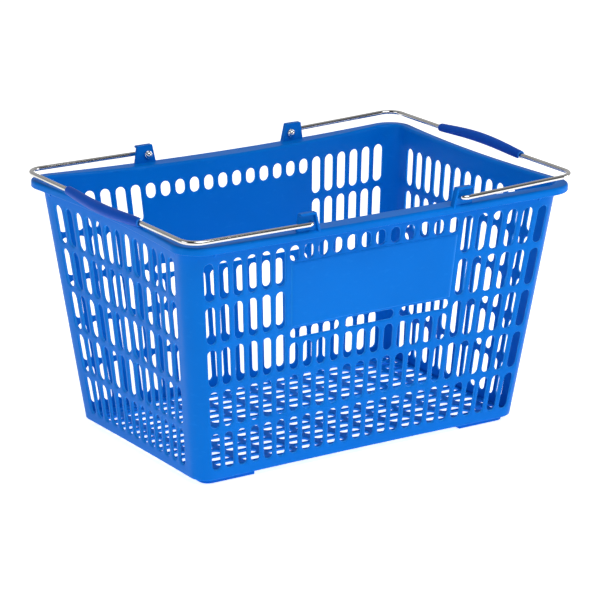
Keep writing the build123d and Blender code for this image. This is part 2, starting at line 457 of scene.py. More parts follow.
def round_edges(piece: bpy.types.Object, width: float, segments: int = 3) -> None:
    """Rounds a piece's sharp edges with a Bevel.

    Args:
        piece: the piece.
        width: the bevel's width in millimetres.
        segments: faces across the bevel.
    """
    bevel = piece.modifiers.new("rounded edges", "BEVEL")
    bevel.width = width * MM
    bevel.segments = segments
    bevel.limit_method = "ANGLE"
    bevel.angle_limit = math.radians(35)
    bevel.harden_normals = True


def even_shading(piece: bpy.types.Object) -> None:
    """Lets a piece's big faces decide its shading.

    Args:
        piece: the piece's object, which gets a Weighted Normal modifier.
    """
    weighted = piece.modifiers.new("even shading", "WEIGHTED_NORMAL")
    weighted.mode = "FACE_AREA"
    weighted.weight = 80


# ---- Plan of the basket ---------------------------------------------------------------
@dataclass(frozen=True)
class Plan:
    """Rounded rectangle whose sides bow inwards, at one height or at many at once.

    Each side is an arc of a circle whose centre is outside the basket, and each corner
    is an arc that touches both neighbours.
    """

    half_x: Array
    half_y: Array
    long_bow: Array
    end_bow: Array
    corner: Array

    def side_arcs(self) -> tuple[Array, Array, Array, Array]:
        """Radius and centre of the long side's arc, then of the end's.

        An arc of half chord c and bow b has the radius (c squared + b squared) / 2b.

        Returns:
            The long side's radius and its centre's Y, then the end's radius and its centre's X.
        """
        long_radius = (self.half_x**2 + self.long_bow**2) / (2 * self.long_bow)
        end_radius = (self.half_y**2 + self.end_bow**2) / (2 * self.end_bow)
        long_centre = self.half_y - self.long_bow + long_radius
        end_centre = self.half_x - self.end_bow + end_radius
        return long_radius, long_centre, end_radius, end_centre

    def corner_centre(self) -> tuple[Array, Array]:
        """Centre of the corner's arc: it is one corner radius from both side arcs.

        It is where two circles cross, each a side's arc with its radius grown by the
        corner radius.

        Returns:
            X and Y of the corner's centre.
        """
        long_radius, long_centre, end_radius, end_centre = self.side_arcs()
        first, second = long_radius + self.corner, end_radius + self.corner
        apart = np.hypot(long_centre, end_centre)
        along = (first**2 - second**2 + apart**2) / (2 * apart)
        off = np.sqrt(first**2 - along**2)
        x = (along * end_centre - off * long_centre) / apart
        y = long_centre - (along * long_centre + off * end_centre) / apart
        return x, y

    def touch(self) -> tuple[Array, Array]:
        """X where the long side meets the corner, and Y where the end meets it.

        Returns:
            X on the long side, then Y on the end.
        """
        long_radius, _, end_radius, _ = self.side_arcs()
        x, y = self.corner_centre()
        return x * long_radius / (long_radius + self.corner), y * end_radius / (end_radius + self.corner)

    def long_y(self, x: Array) -> Array:
        """Half width of the plan at x: the side's arc, or the corner's arc beyond it.

        Args:
            x: places along the basket.

        Returns:
            Half the width at each place.
        """
        radius, centre, _, _ = self.side_arcs()
        corner_x, corner_y = self.corner_centre()
        over = np.clip(np.abs(x) - corner_x, -self.corner, self.corner)
        side = centre - np.sqrt(radius**2 - x**2)
        corner = corner_y + np.sqrt(np.maximum(self.corner**2 - over**2, 0.0))
        return np.where(np.abs(x) > self.touch()[0], corner, side)

    def end_x(self, y: Array) -> Array:
        """Half length of the plan at y: the end's arc, or the corner's arc beyond it.

        Args:
            y: places across the basket.

        Returns:
            Half the length at each place.
        """
        _, _, radius, centre = self.side_arcs()
        corner_x, corner_y = self.corner_centre()
        over = np.clip(np.abs(y) - corner_y, -self.corner, self.corner)
        side = centre - np.sqrt(radius**2 - y**2)
        corner = corner_x + np.sqrt(np.maximum(self.corner**2 - over**2, 0.0))
        return np.where(np.abs(y) > self.touch()[1], corner, side)

    def quarter(self, x_edge: Array, y_edge: Array, round_steps: int, flat_steps: int) -> Array:
        """Corner between the last long column and the last end column.

        The first steps turn evenly about the corner's centre; the rest go evenly along
        the end wall.

        Args:
            x_edge: X of the last column's edge on the long wall.
            y_edge: Y of the last column's edge on the end wall.
            round_steps: steps round the corner.
            flat_steps: steps along the end wall.

        Returns:
            Points (levels, steps + 1, 2) in the quarter with positive X and Y.
        """
        x, y = self.corner_centre()
        end_y = self.touch()[1]
        start = np.arctan2(self.long_y(x_edge) - y, x_edge - x)
        stop = np.arctan2(end_y - y, self.end_x(end_y) - x)
        share = np.linspace(0, 1, round_steps + 1)
        angle = start + (stop - start) * share
        turn = np.stack([x + self.corner * np.cos(angle), y + self.corner * np.sin(angle)], -1)
        down = end_y + (y_edge - end_y) * np.linspace(0, 1, flat_steps + 1)[1:]
        flat = np.stack([self.end_x(down), down], -1)
        return np.concatenate([turn, flat], axis=-2)

    def loop(self, x_edge: Array, y_edge: Array, steps: tuple[int, int, int, int]) -> Array:
        """The whole plan as a closed loop, once round from the left of the front wall.

        Args:
            x_edge: X of the last column's edge on the long wall.
            y_edge: Y of the last column's edge on the end wall.
            steps: steps along the long wall's columns, the end wall's columns, a
                corner's round and its flat.

        Returns:
            Points (levels, round, 2).
        """
        long_x = x_edge * np.linspace(-1, 1, steps[0] + 1)
        end_y = y_edge * np.linspace(-1, 1, steps[1] + 1)
        front = np.stack([long_x, -self.long_y(long_x)], -1)
        right = np.stack([self.end_x(end_y), end_y], -1)
        corner = self.quarter(x_edge, y_edge, steps[2], steps[3])[..., 1:-1, :]
        return np.concatenate(
            [
                front,
                corner * (1, -1),
                right,
                corner[..., ::-1, :],
                front[..., ::-1, :] * (1, -1),
                corner * (-1, 1),
                right[..., ::-1, :] * (-1, 1),
                corner[..., ::-1, :] * (-1, -1),
            ],
            axis=-2,
        )


# ---- Slots ----------------------------------------------------------------------------
def side_path(steps: int) -> tuple[Array, Array]:
    """One of a slot's four sides: two steps of arc, the straight, two steps of arc.

    Args:
        steps: steps from corner to corner, at least four.

    Returns:
        Turns in radians from the side's outward direction, and places along its
        straight part from -1 to 1. Each has one value less than its points, as the last
        point belongs to the next side.
    """
    eighth = math.pi / 8
    turn = np.concatenate([[2 * eighth, eighth], np.zeros(steps - 3), [-eighth]])
    along = np.concatenate([[-1, -1], np.linspace(-1, 1, steps - 3), [1]])
    return turn, along


@dataclass(frozen=True)
class SlotRow:
    """A row of slots of one size in cells that touch each other."""

    middles: Array
    cell_top: float
    cell_bottom: float
    slot_top: float
    slot_bottom: float
    side_steps: int
    top_steps: int = 4
    span: float = 1.0
    side_gap: float | None = None

    def outline(self, half_wide: float, half_tall: float, grow: float) -> tuple[Array, Array]:
        """Points round a slot with full round ends, clockwise from its upper left.

        A point is a centre that slides along each straight part, plus the radius in the
        direction of its turn.

        Args:
            half_wide: half of the slot's width.
            half_tall: half of its height.
            grow: how far the outline lies outside the slot.

        Returns:
            Sideways places and heights from the slot's middle.
        """
        radius = min(half_wide, half_tall)
        top_turn, top_along = side_path(self.top_steps)
        side_turn, side_along = side_path(self.side_steps)
        one, tall = np.ones_like(top_along), np.ones_like(side_along)
        quarter = math.pi / 2
        turn = np.concatenate([quarter + top_turn, side_turn, top_turn - quarter, side_turn + 2 * quarter])
        slide_x = np.concatenate([top_along, tall, -top_along, -tall]) * (half_wide - radius)
        slide_z = np.concatenate([one, -side_along, -one, side_along]) * (half_tall - radius)
        reach = radius + grow
        return slide_x + reach * np.cos(turn), slide_z + reach * np.sin(turn)

    def border(self) -> tuple[Array, Array]:
        """Points round a cell, from -1 to 1 across it and up it, in step with outline.

        Returns:
            How far across each point is, then how far up.
        """
        top = np.arange(self.top_steps) / self.top_steps * 2 - 1
        side = np.arange(self.side_steps) / self.side_steps * 2 - 1
        one, tall = np.ones_like(top), np.ones_like(side)
        across = np.concatenate([top, tall, -top, -tall])
        up = np.concatenate([one, -side, -one, side])
        return across, up


# ---- Tub ------------------------------------------------------------------------------
@dataclass
class Tub:
    """The moulded tub: slotted walls, flat rim, floor grid, panels, lugs, ribs and feet."""

    node: str = "basket_tub"
    bottom: float = 6.0
    top: float = 266.0
    wall: float = 3.0
    bottom_half_x: float = 198.3
    bottom_half_y: float = 124.6
    top_half_x: float = 231.8
    top_half_y: float = 161.4
    bottom_corner: float = 18.0
    top_corner: float = 22.0
    long_bows: tuple[float, float] = (2.5, 18.9)
    end_bows: tuple[float, float] = (1.0, 8.8)
    rim_half_x: float = 242.5
    rim_half_y: float = 170.5
    rim_corner: float = 28.0
    rim_bows: tuple[float, float] = (7.7, 11.7)
    rim_dip: float = 3.5
    long_columns: int = 24
    end_columns: int = 13
    long_pitch: float = 18.0
    end_pitch: float = 19.6
    slot_share: float = 0.66
    rows: int = 5
    row_pitch: float = 46.7
    row_gap: float = 3.0
    first_top: float = 244.3
    row_steps: int = 12
    panel_columns: int = 12
    edge_round: float = 0.8
    corner_steps: tuple[int, int] = (8, 3)
    crossways_gap: float = 6.5
    floor_top: float = 8.5
    floor_bottom: float = 5.2
    floor_pitch: tuple[float, float] = (32.4, 16.4)
    floor_slot: tuple[float, float] = (26.0, 12.5)
    floor_cells: tuple[int, int] = (12, 14)
    floor_side_inset: float = 2.4
    small_slot_bottom: float = 227.8
    crossways_slot: tuple[float, float] = (155.0, 144.5)
    short_slot_top: float = 139.2
    under_radius: float = 2.0
    over_radius: float = 3.5
    panel_raise: float = 0.8
    panel_levels: tuple[float, float] = (156.8, 226.0)
    panel_margin: float = 3.0
    panel_border: float = 1.4
    gusset_inwards: float = 34.0
    gusset_thick: float = 2.5
    gusset_levels: tuple[float, float] = (250.5, 262.3)
    gusset_rim_inset: float = 4.0
    lug_base: float = 261.0
    lug_rise: float = 10.6
    lug_skin: float = 2.5
    lug_plate: float = 3.5
    lug_reach: tuple[float, float] = (157.5, 164.2)
    lug_foot: tuple[float, float] = (-10.3, 16.1)
    lug_head: tuple[float, float] = (-5.4, 13.2)
    foot_inset: tuple[float, float] = (10.0, 8.0)
    foot_legs: tuple[float, float] = (60.0, 50.0)
    foot_width: float = 8.0
    foot_turn: float = 10.0
    foot_sink: float = 0.8

    def between(self, low: float, high: float, height: Array) -> Array:
        """Value at a height of something that changes evenly up the wall."""
        return low + (high - low) * (height - self.bottom) / (self.top - self.bottom)

    def plan(self, height: Array, inset: Array | float) -> Plan:
        """Plan of the wall at a height, moved inwards from its outer face.

        Args:
            height: a height, or an array of them.
            inset: distance inwards from the outer face.

        Returns:
            The plan at each height.
        """
        height = np.asarray(height, dtype=float)
        return Plan(
            self.between(self.bottom_half_x, self.top_half_x, height) - inset,
            self.between(self.bottom_half_y, self.top_half_y, height) - inset,
            self.between(*self.long_bows, height) + 0 * np.asarray(inset),
            self.between(*self.end_bows, height) + 0 * np.asarray(inset),
            self.between(self.bottom_corner, self.top_corner, height) - inset,
        )

    def rim_plan(self, inset: Array) -> Plan:
        """Plan of the rim, moved inwards from its outer edge.

        Args:
            inset: distances inwards from the outer edge.

        Returns:
            The rim's plan at each distance.
        """
        return Plan(
            self.rim_half_x - inset,
            self.rim_half_y - inset,
            self.rim_bows[0] + 0 * inset,
            self.rim_bows[1] + 0 * inset,
            self.rim_corner - inset,
        )

    def pitch(self, wall: Wall, height: Array) -> Array:
        """Width of one column at a height: the columns fan out with the walls.

        Args:
            wall: a long wall or an end wall.
            height: a height, or an array of them.

        Returns:
            The column's width at each height.
        """
        if wall is Wall.LONG:
            pitch, low, high = self.long_pitch, self.bottom_half_x, self.top_half_x
        else:
            pitch, low, high = self.end_pitch, self.bottom_half_y, self.top_half_y
        return pitch * self.between(low, high, height) / high

    def on_wall(self, wall: Wall, sign: int, across: Array, height: Array, inset: Any) -> Array:
        """Places on a wall.

        Args:
            wall: the kind of wall.
            sign: -1 for the front or left wall, 1 for the back or right one.
            across: X on a long wall, or Y on an end wall.
            height: Z.
            inset: depth inwards from the outer face.

        Returns:
            Points (..., 3).
        """
        plan = self.plan(height, inset)
        across, height = np.broadcast_arrays(across, height)
        if wall is Wall.LONG:
            return np.stack([across, sign * plan.long_y(across), height], -1)
        return np.stack([sign * plan.end_x(across), across, height], -1)

    def level(self, step: int) -> float:
        """Height of a level, counted in steps down from the top of the first row."""
        return self.first_top + self.row_gap - step * self.row_pitch / self.row_steps

    def slot_rows(self, wall: Wall) -> list[SlotRow]:
        """The rows of slots on a wall.

        Args:
            wall: the kind of wall.

        Returns:
            The rows, which fill the wall except for the panel.
        """
        columns = self.long_columns if wall is Wall.LONG else self.end_columns
        middles = np.arange(columns) - (columns - 1) / 2
        outside = middles[np.abs(middles) > self.panel_columns / 2]
        made = []
        for row in range(self.rows):
            beside = wall is Wall.LONG and row < 3
            slot_top = self.first_top - row * self.row_pitch
            made.append(
                SlotRow(
                    outside if beside else middles,
                    self.level(row * self.row_steps),
                    self.level((row + 1) * self.row_steps),
                    slot_top,
                    slot_top + 2 * self.row_gap - self.row_pitch,
                    self.row_steps,
                )
            )
        if wall is Wall.LONG:
            inner = middles[np.abs(middles) < self.panel_columns / 2]
            wide = np.array([-4.0, 0.0, 4.0])
            low = self.level(36)
            small = (self.first_top, self.small_slot_bottom, 6)
            made.append(SlotRow(inner, self.level(0), self.level(6), *small))
            crossways = (*self.crossways_slot, 4, 16, 4.0, self.crossways_gap)
            made.append(SlotRow(wide, self.level(23), self.level(27), *crossways))
            made.append(SlotRow(inner, self.level(27), low, self.short_slot_top, low + self.row_gap, 9))
        return made

    def cells(self, wall: Wall, sign: int, row: SlotRow) -> Array:
        """Grids of a row's cells, each from its outer border through the slot to its inner one.

        The six rings are: the border and the rounded edge's start on the outer face, the
        slot's wall from edge to edge, the rounded edge's end and the border inside.

        Args:
            wall: the kind of wall.
            sign: which of the two such walls.
            row: the row of slots.

        Returns:
            Points (cells, 6, round, 3).
        """
        middle = (row.slot_top + row.slot_bottom) / 2
        half_tall = (row.slot_top - row.slot_bottom) / 2
        pitch = float(self.pitch(wall, middle))
        wide = self.slot_share * pitch if row.side_gap is None else row.span * pitch - row.side_gap
        across, up = row.border()
        border_z = (row.cell_top + row.cell_bottom) / 2 + up * (row.cell_top - row.cell_bottom) / 2
        border_c = row.middles[:, None] + across * row.span / 2
        border = border_c * self.pitch(wall, border_z)
        border_z = np.broadcast_to(border_z, border.shape)
        rings_a, rings_z = [border], [border_z]
        for grow in (self.edge_round, 0.0, 0.0, self.edge_round):
            side, rise = row.outline(wide / 2, half_tall, grow)
            height = middle + rise
            rings_a.append(row.middles[:, None] * self.pitch(wall, height) + side)
            rings_z.append(np.broadcast_to(height, border.shape))
        rings_a.append(border)
        rings_z.append(border_z)
        soft = self.edge_round
        depths = np.array([0, 0, soft, self.wall - soft, self.wall, self.wall])[:, None]
        return self.on_wall(wall, sign, np.stack(rings_a, 1), np.stack(rings_z, 1), depths)

    def loop(self, plan: Plan, scale: Array, stretch: tuple[float, float]) -> Array:
        """A plan's closed loop, in step with the columns.

        Args:
            plan: the plan, at heights shaped (levels, 1).
            scale: share of the top's size that the columns have there.
            stretch: the columns' extra spread on the long and end walls.

        Returns:
            Points (levels, round, 2).
        """
        x_edge = self.long_columns / 2 * self.long_pitch * scale[0] * stretch[0]
        y_edge = self.end_columns / 2 * self.end_pitch * scale[1] * stretch[1]
        return plan.loop(x_edge, y_edge, (self.long_columns * 4, self.end_columns * 4, *self.corner_steps))

    def wall_loops(self, heights: Sequence[float], insets: Sequence[float]) -> Array:
        """Closed loops on the walls, one for each height and inset.

        Args:
            heights: Z of each loop.
            insets: depth of each loop inwards from the outer face.

        Returns:
            Points (loops, round, 3).
        """
        height = np.asarray(heights, dtype=float)[:, None]
        inset = np.asarray(insets, dtype=float)[:, None]
        scale = (
            self.between(self.bottom_half_x, self.top_half_x, height) / self.top_half_x,
            self.between(self.bottom_half_y, self.top_half_y, height) / self.top_half_y,
        )
        flat = self.loop(self.plan(height, inset), scale, (1.0, 1.0))
        return with_height(flat, height)

    def rim_line(self, x: Array) -> Array:
        """Height of the rim's top at x: a parabola that is lowest at the middle."""
        return self.top - self.rim_dip * (1 - (x / self.rim_half_x) ** 2)

    def rim_loops(self, insets: Sequence[float], drops: Sequence[float]) -> Array:
        """Closed loops on the rim, one for each inset and drop below the rim's line.

        Args:
            insets: depth of each loop inwards from the rim's outer edge.
            drops: distance of each loop below the rim's line.

        Returns:
            Points (loops, round, 3).
        """
        inset = np.asarray(insets, dtype=float)[:, None]
        stretch = (self.rim_half_x / self.top_half_x, self.rim_half_y / self.top_half_y)
        scale = (np.ones_like(inset), np.ones_like(inset))
        flat = self.loop(self.rim_plan(inset), scale, stretch)
        return with_height(flat, self.rim_line(flat[..., 0]) - np.asarray(drops)[:, None])

    def flange(self, low: Array, inset: float, high: Array, radius: float, steps: int) -> Array:
        """Upright wall, a quarter circle and a level flange, from one loop to another.

        On the quarter circle a point goes out by radius (1 - cos(turn)) and stays
        radius (1 - sin(turn)) below the flange.

        Args:
            low: the loop on the wall (round, 3).
            inset: the wall loop's depth inwards from the outer face.
            high: the loop where the flange ends (round, 3).
            radius: the quarter circle's radius.
            steps: points on the quarter circle.

        Returns:
            Points (steps + 2, round, 3).
        """
        head = self.wall_loops([self.top], [inset])[0]
        turn = np.linspace(0, math.pi / 2, steps)[:, None, None]
        height = high[..., 2:] - radius * (1 - np.sin(turn))
        share = (height - low[..., 2:]) / (head[..., 2:] - low[..., 2:])
        wall = low[..., :2] + share * (head - low)[..., :2]
        away = high[..., :2] - wall
        away = away / np.linalg.norm(away, axis=-1, keepdims=True)
        bend = np.concatenate([wall + away * radius * (1 - np.cos(turn)), height], -1)
        return np.concatenate([low[None], bend, high[None]])

    def add_wall_ends(self, shell: Shell) -> None:
        """Adds the rim above the slots and the rounded edge below them.

        Args:
            shell: the shell that the grids go into.
        """
        start = self.level(0)
        stop = self.level(self.rows * self.row_steps)
        outer, inner = self.wall_loops([start, start], [0.0, self.wall])
        lip_insets = [3.0, 2.4, 2.3, 2.3, 2.0, 1.2, 0.4, 0.0, 0.0, 0.3, 1.0, 2.2, 3.4]
        lip_drops = [2.5, 2.9, 3.6, 7.0, 7.7, 8.0, 7.7, 7.0, 2.8, 1.6, 0.7, 0.15, 0.0]
        lip = self.rim_loops(lip_insets, lip_drops)
        under = self.flange(outer, 0.0, lip[0], self.under_radius, 5)
        over = self.flange(inner, self.wall, lip[-1], self.over_radius, 8)
        shell.grid(np.concatenate([under, lip[1:-1], over[::-1]]), wrap=True)
        heights = [stop, 10.0, 7.2, 6.35, 6.0, 6.0, 10.0, stop]
        insets = [0.0, 0.0, 0.0, 0.35, 1.2, self.wall, self.wall, self.wall]
        shell.grid(self.wall_loops(heights, insets), wrap=True)

    def add_corners(self, shell: Shell) -> None:
        """Adds the four blank corners between the long columns and the end columns.

        Args:
            shell: the shell that the grids go into.
        """
        levels = np.array([self.level(step) for step in range(self.rows * self.row_steps + 1)])[:, None]
        x_edge = self.long_columns / 2 * self.pitch(Wall.LONG, levels)
        y_edge = self.end_columns / 2 * self.pitch(Wall.END, levels)
        for inset in (0.0, self.wall):
            flat = self.plan(levels, inset).quarter(x_edge, y_edge, *self.corner_steps)
            for signs in QUARTERS:
                shell.grid(with_height(flat * signs, levels))

    def add_panel_area(self, shell: Shell) -> None:
        """Adds the blank area of the long walls that the label panel covers.

        Args:
            shell: the shell that the grids go into.
        """
        heights = np.array([self.level(step) for step in range(6, 24)])[:, None]
        columns = np.linspace(-1, 1, self.panel_columns * 4 + 1) * self.panel_columns / 2
        across = columns * self.pitch(Wall.LONG, heights)
        for sign in (-1, 1):
            for inset in (0.0, self.wall):
                shell.grid(self.on_wall(Wall.LONG, sign, across, heights, inset))

    def walls(self) -> Shell:
        """All four walls with their slots, corners, rim and bottom edge, as one skin.

        Returns:
            The walls in one shell.
        """
        shell = Shell()
        for wall in Wall:
            for row in self.slot_rows(wall):
                for sign in (-1, 1):
                    shell.grid(self.cells(wall, sign, row), wrap=True, edge=SLOT_EDGE_HIGHLIGHT)
        self.add_corners(shell)
        self.add_panel_area(shell)
        self.add_wall_ends(shell)
        return shell

    def floor(self) -> Shell:
        """The floor: a slab of cells with a slot in each, and plain strips at the sides.

        Returns:
            The floor in one shell.
        """
        shell = Shell()
        many_x, many_y = self.floor_cells
        pitch_x, pitch_y = self.floor_pitch
        row = SlotRow(np.zeros(1), pitch_y / 2, -pitch_y / 2, 0, 0, 4, 6)
        mid_x = (np.arange(many_x) - (many_x - 1) / 2) * pitch_x
        mid_y = (np.arange(many_y) - (many_y - 1) / 2) * pitch_y
        middles = np.stack(np.meshgrid(mid_x, mid_y), -1).reshape(-1, 1, 1, 2)
        across, up = row.border()
        border = np.stack([across * pitch_x / 2, up * pitch_y / 2], -1)
        half_x, half_y = self.floor_slot[0] / 2, self.floor_slot[1] / 2
        soft = np.stack(row.outline(half_x, half_y, self.edge_round), -1)
        sharp = np.stack(row.outline(half_x, half_y, 0.0), -1)
        rings = np.stack([border, soft, sharp, sharp, soft, border])
        low, high, turn = self.floor_bottom, self.floor_top, self.edge_round
        heights = np.array([high, high, high - turn, low + turn, low, low])
        flat = middles + rings
        shell.grid(with_height(flat, heights[:, None]), wrap=True, edge=SLOT_EDGE_HIGHLIGHT)
        edge_x, edge_y = many_x * pitch_x / 2, many_y * pitch_y / 2
        x = np.linspace(-edge_x, edge_x, many_x * 6 + 1)
        y = np.linspace(-edge_y, edge_y, many_y * 4 + 1)
        far = np.maximum(self.plan(self.bottom, self.floor_side_inset).long_y(x), edge_y)
        for level in (low, high):
            for sign in (-1, 1):
                near = np.stack([x, np.full_like(x, sign * edge_y), np.full_like(x, level)], -1)
                side = np.stack([x, sign * far, np.full_like(x, level)], -1)
                shell.grid(np.stack([near, side]))
        ends = np.full_like(y, edge_x)
        loop = np.concatenate(
            [
                np.stack([x, -far], -1),
                np.stack([ends, y], -1),
                np.stack([x, far], -1)[::-1],
                np.stack([-ends, y], -1)[::-1],
            ]
        )
        rims = [np.insert(loop, 2, level, axis=1) for level in (high, low)]
        shell.grid(np.stack(rims), wrap=True)
        return shell

    def panels(self) -> Shell:
        """Label panels: slightly raised fields on both long walls, with rounded borders.

        The skin's height goes by the sine of the distance from the border, and its back
        lies inside the wall.

        Returns:
            Both panels in one shell.
        """
        low, high = self.panel_levels
        shell = Shell()
        even = np.linspace(-1, 1, 49)
        share = np.sort(np.concatenate([even, [-0.997, -0.994, 0.994, 0.997]]))[None, :]
        tall = np.sort(np.concatenate([np.linspace(0, 1, 19), [0.012, 0.024, 0.976, 0.988]]))[:, None]
        height = low + (high - low) * tall
        half = self.panel_columns / 2 * self.pitch(Wall.LONG, height) - self.panel_margin
        across = share * half
        from_side = (1 - np.abs(share)) * half
        from_end = np.minimum(height - low, high - height)
        near = np.clip(np.minimum(from_side, from_end) / self.panel_border, 0, 1)
        inset = 0.4 - (self.panel_raise + 0.4) * np.sin(near * math.pi / 2)
        for sign in (-1, 1):
            front = self.on_wall(Wall.LONG, sign, across, height, inset)
            back = self.on_wall(Wall.LONG, sign, across, height, 1.2)
            # The rounded border gets part of the plastic's painted highlight.
            shell.grid(front, edge=np.where(near < 1, 0.6, 0.0)[None])
            shell.grid(back)
            for one, other in ((0, 0), (-1, -1)):
                shell.grid(np.stack([front[one], back[other]]))
                shell.grid(np.stack([front[:, one], back[:, other]]))
        return shell

    def gussets(self) -> Shell:
        """Small upright ribs near every corner, each a wedge from the wall to the rim.

        Returns:
            The ribs in one shell.
        """
        shell = Shell()
        low, high = self.gusset_levels
        half = self.gusset_thick / 2
        wall, rim = self.plan(low, 0.0), self.rim_plan(np.array(self.gusset_rim_inset))
        spots = (
            (0, self.top_half_x - self.gusset_inwards, wall.long_y, rim.long_y),
            (1, self.top_half_y - self.gusset_inwards, wall.end_x, rim.end_x),
        )
        for axis, place, wall_reach, rim_reach in spots:
            foot, tip = [float(reach(np.array(place))) for reach in (wall_reach, rim_reach)]
            wedge = np.array([(foot - 1, low), (foot, low), (tip, high), (foot - 1, high)])
            for sign, other in QUARTERS:
                shell.prism(wedge * (sign, 1), other * place - half, other * place + half, axis)
        return shell

    def lugs(self, pivot: Sequence[float]) -> Shell:
        """Lugs that carry the wires: a plate, a wall on its middle side and a hood on top.

        Args:
            pivot: X and Z of the right-hand wires' pivot.

        Returns:
            The lugs' grids.
        """
        shell = Shell()
        inner, outer = self.lug_reach
        base, top, skin = self.lug_base, pivot[1] + self.lug_rise, self.lug_skin
        foot = pivot[0] + np.array(self.lug_foot)
        head = pivot[0] + np.array(self.lug_head)
        slope = (head - foot) / (top - base)
        hood = foot + slope * (top - skin - base)
        face = [(foot[0], base), (head[0], top), (head[1], top), (foot[1], base)]
        side_top = top - skin / 2
        side_x = foot[0] + slope[0] * (side_top - base)
        wall = [(foot[0], base), (side_x, side_top), (side_x + skin, side_top), (foot[0] + skin, base)]
        roof = [(hood[0], top - skin), (head[0], top), (head[1], top), (hood[1], top - skin)]
        middle = inner + self.lug_plate / 2
        parts = ((face, inner, inner + self.lug_plate), (wall, middle, outer), (roof, middle, outer))
        for end, side in QUARTERS:
            for profile, start, stop in parts:
                shell.prism(np.array(profile) * (end, 1), side * start, side * stop, 1)
        return shell

    def feet(self) -> Shell:
        """L-shaped feet under the corners, each outline going round its bend in arcs.

        Returns:
            The feet in one shell.
        """
        shell = Shell()
        wide, turn, legs = self.foot_width, self.foot_turn, self.foot_legs
        x = self.bottom_half_x - self.foot_inset[0]
        y = self.bottom_half_y - self.foot_inset[1]
        angle = np.linspace(0, math.pi / 2, 7)
        outer = np.stack([x - turn + turn * np.sin(angle), y - turn + turn * np.cos(angle)], -1)
        small = turn - wide
        inner = np.stack([x - turn + small * np.sin(angle), y - turn + small * np.cos(angle)], -1)
        outer = np.concatenate([[(x - legs[0], y)], outer, [(x, y - legs[1])]])
        inner = np.concatenate([[(x - legs[0], y - wide)], inner, [(x - wide, y - legs[1])]])
        profile = np.concatenate([outer, inner[::-1]])
        for signs in QUARTERS:
            shell.prism(profile * signs, 0.0, self.bottom + self.foot_sink, 2)
        return shell

    def build(self, material: Material, pivot: Sequence[float]) -> None:
        """Makes the tub's pieces.

        Args:
            material: the tub's plastic.
            pivot: X and Z of the right-hand wires' pivot.
        """
        even_shading(place_piece(self.walls(), "basket_walls", self.node, material))
        even_shading(place_piece(self.floor(), "basket_floor", self.node, material))
        place_piece(self.panels(), "label_panels", self.node, material)
        round_edges(place_piece(self.gussets(), "rim_gussets", self.node, material), 0.4)
        round_edges(place_piece(self.lugs(pivot), "bail_lugs", self.node, material), 0.7)
        round_edges(place_piece(self.feet(), "corner_feet", self.node, material), 0.8)


